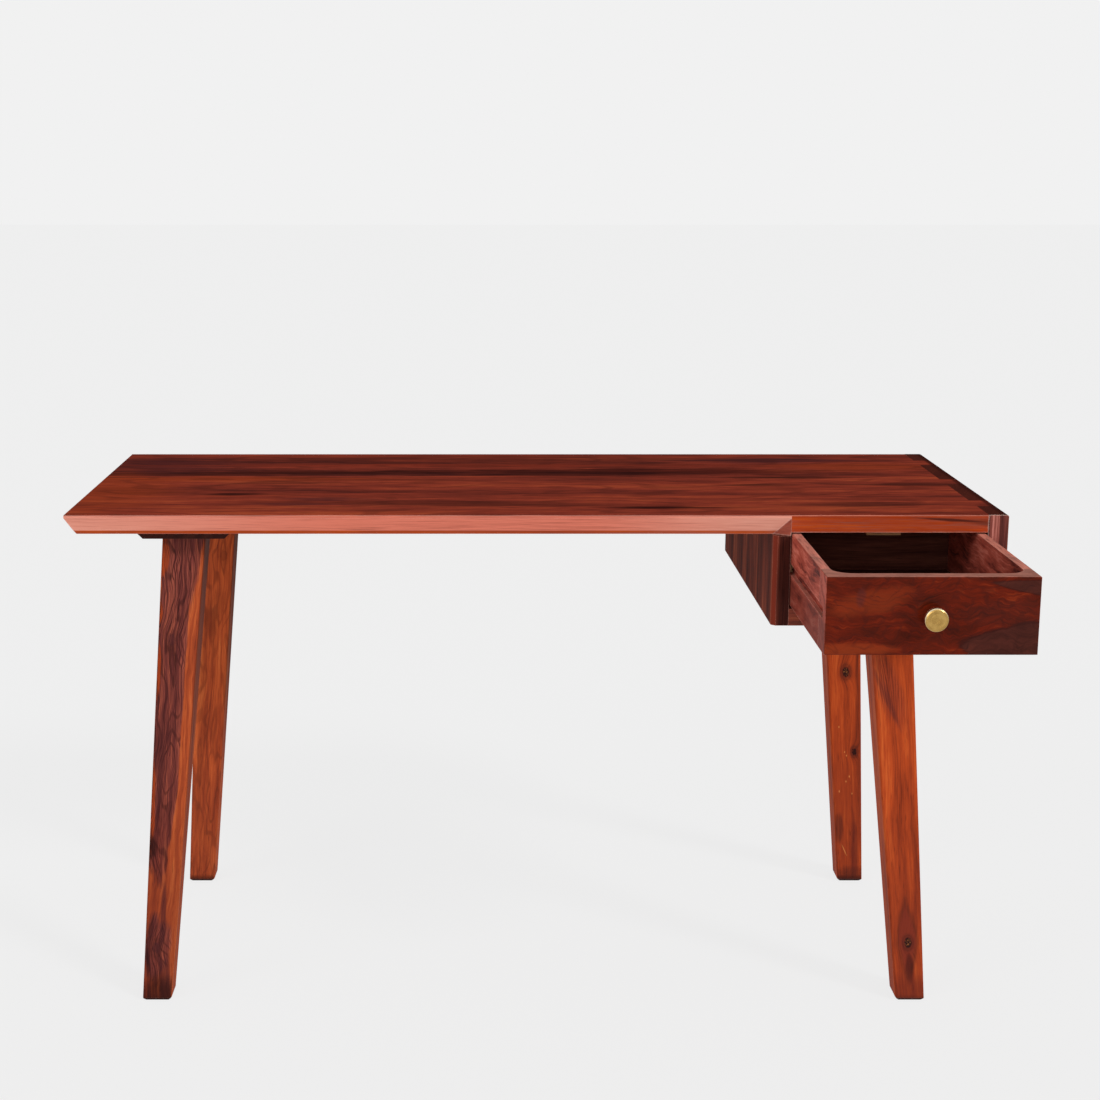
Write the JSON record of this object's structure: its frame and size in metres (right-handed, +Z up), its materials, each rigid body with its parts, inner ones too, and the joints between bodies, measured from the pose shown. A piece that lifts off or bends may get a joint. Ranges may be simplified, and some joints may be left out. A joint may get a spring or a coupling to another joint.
{
  "type": "study table",
  "caption": "Solid-wood study table with splayed tapered legs, an under-bevelled desktop and a side drawer that slides on wooden runners, with a turned brass knob.",
  "frame": {"origin": "on the floor, under the middle of the object's box with the drawer pulled out as in the picture", "axes": "+Z up, +X to the right along the desktop's length, -Y out of the front, the way the drawer opens"},
  "size_m": [1.37, 0.865, 0.762],
  "materials": {
    "polished_wood": "red-brown stain, gloss polish",
    "inner_wood": "dark stain, dull",
    "pale_wood": "bare wood",
    "brass": "turned, satin",
    "steel": "zinc plated"
  },
  "bodies": {
    "table": {"desktop": "polished_wood", "end_panel": "polished_wood", "divider_panel": "polished_wood", "carcass_bottom": "polished_wood", "leg_front_left": "polished_wood", "leg_front_right": "polished_wood", "leg_back_left": "polished_wood", "leg_back_right": "polished_wood", "carcass_back": "inner_wood", "leg_cleat_left": "inner_wood", "leg_cleat_right": "inner_wood", "runner_left": "pale_wood", "runner_right": "pale_wood", "drawer_stop": "pale_wood", "divider_tenons": "pale_wood", "carcass_bottom_tenons": "pale_wood", "drawer_stop_screw": "steel", "cleat_screws": "steel"},
    "drawer": {"drawer_front": "polished_wood", "drawer_side_left": "polished_wood", "drawer_side_right": "polished_wood", "drawer_back": "inner_wood", "drawer_bottom": "inner_wood", "drawer_front_tenons": "pale_wood", "knob": "brass", "knob_screw": "steel"}
  },
  "joints": [
    {"name": "drawer_slide", "type": "slide", "parent": "table", "child": "drawer", "axis": [0, -1, 0], "range_m": [-0.28, 0.108]}
  ]
}
